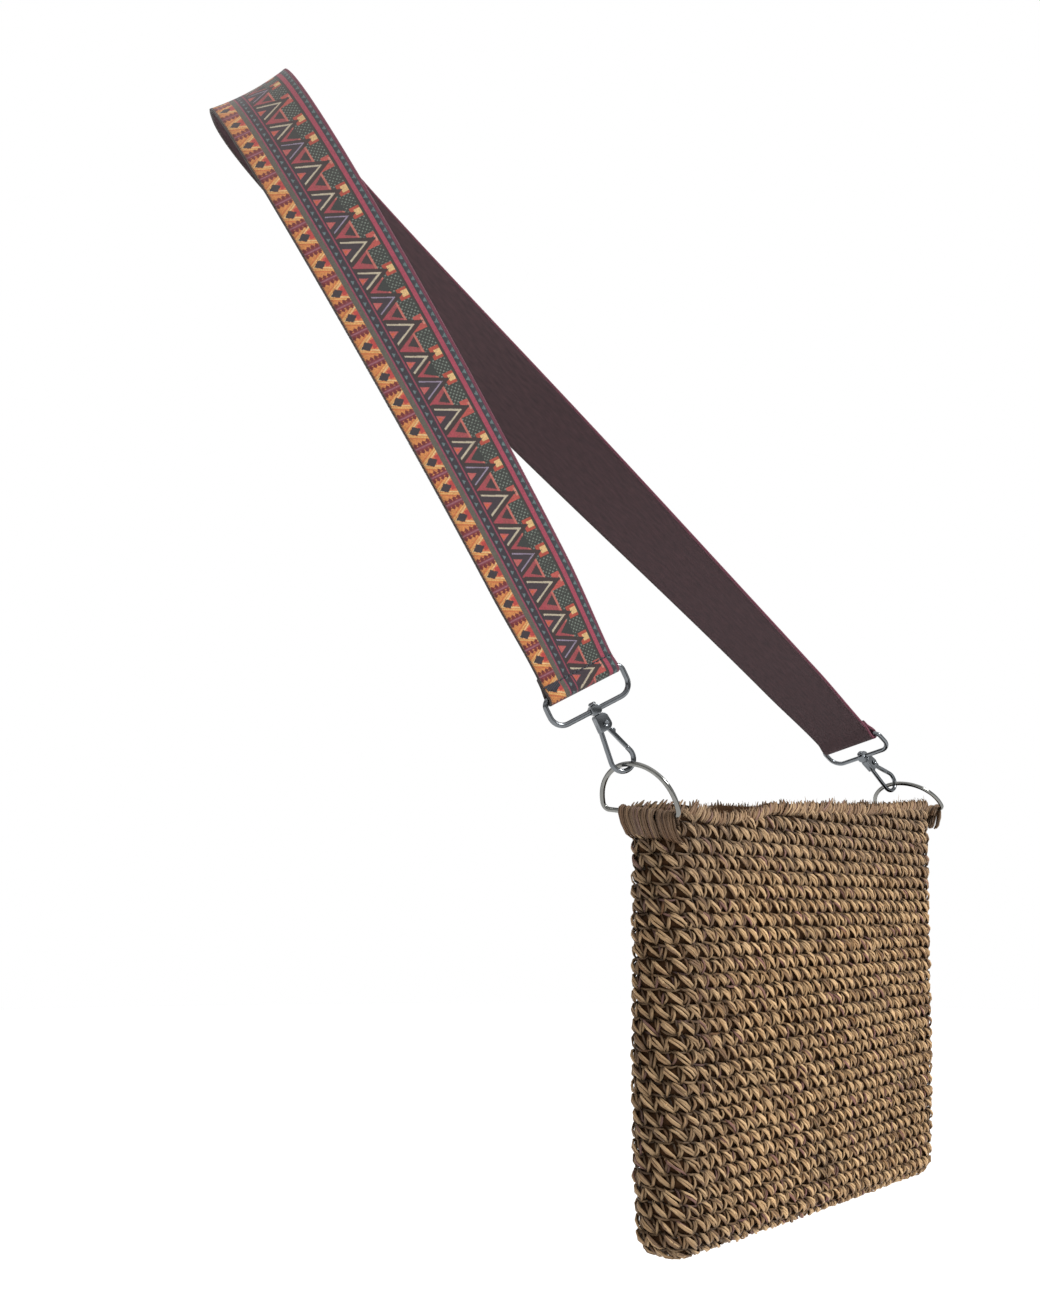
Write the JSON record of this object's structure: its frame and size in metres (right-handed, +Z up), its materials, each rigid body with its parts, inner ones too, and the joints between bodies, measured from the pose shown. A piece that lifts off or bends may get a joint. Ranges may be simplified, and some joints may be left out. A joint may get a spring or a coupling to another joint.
{
  "type": "crochet raffia tote bag",
  "caption": "Slim open-topped crochet raffia tote hung from a patterned webbing shoulder strap by swivel clasps on D-rings at its narrow ends.",
  "frame": {"origin": "underside of the strap's crown, where the strap hangs over a shoulder", "axes": "+Z up, +X along the bag's width from the near end to the far end, -Y out of the bag's front face"},
  "size_m": [0.5477, 0.2557, 0.7096],
  "materials": {
    "raffia": "rough, fibrous",
    "webbing": "woven, matt",
    "nickel": "polished",
    "gunmetal": "polished dark plating"
  },
  "bodies": {
    "root": {"bag_body": "raffia", "raffia_wrap_near": "raffia", "raffia_wrap_far": "raffia", "d_ring_near": "nickel", "d_ring_far": "nickel", "strap": "webbing", "strap_ring_near": "gunmetal", "clasp_far": "gunmetal"},
    "hook": {"hook_near": "gunmetal", "gate_rivet_near": "gunmetal"},
    "gate": {"gate_near": "gunmetal"}
  },
  "joints": [
    {"name": "hook_swivel", "type": "hinge", "parent": "root", "child": "hook", "pos_m": [0.10211, -0.18389, -0.37783], "axis": [-0.42, 0.2195, 0.8806], "range_deg": [-15, 50]},
    {"name": "gate_lever", "type": "hinge", "parent": "hook", "child": "gate", "pos_m": [0.10757, -0.18693, -0.38563], "axis": [0.534, 0.8443, 0.0442], "range_deg": [0, 28], "stiffness_Nm_per_rad": 0.015, "springref_deg": -28.65}
  ]
}
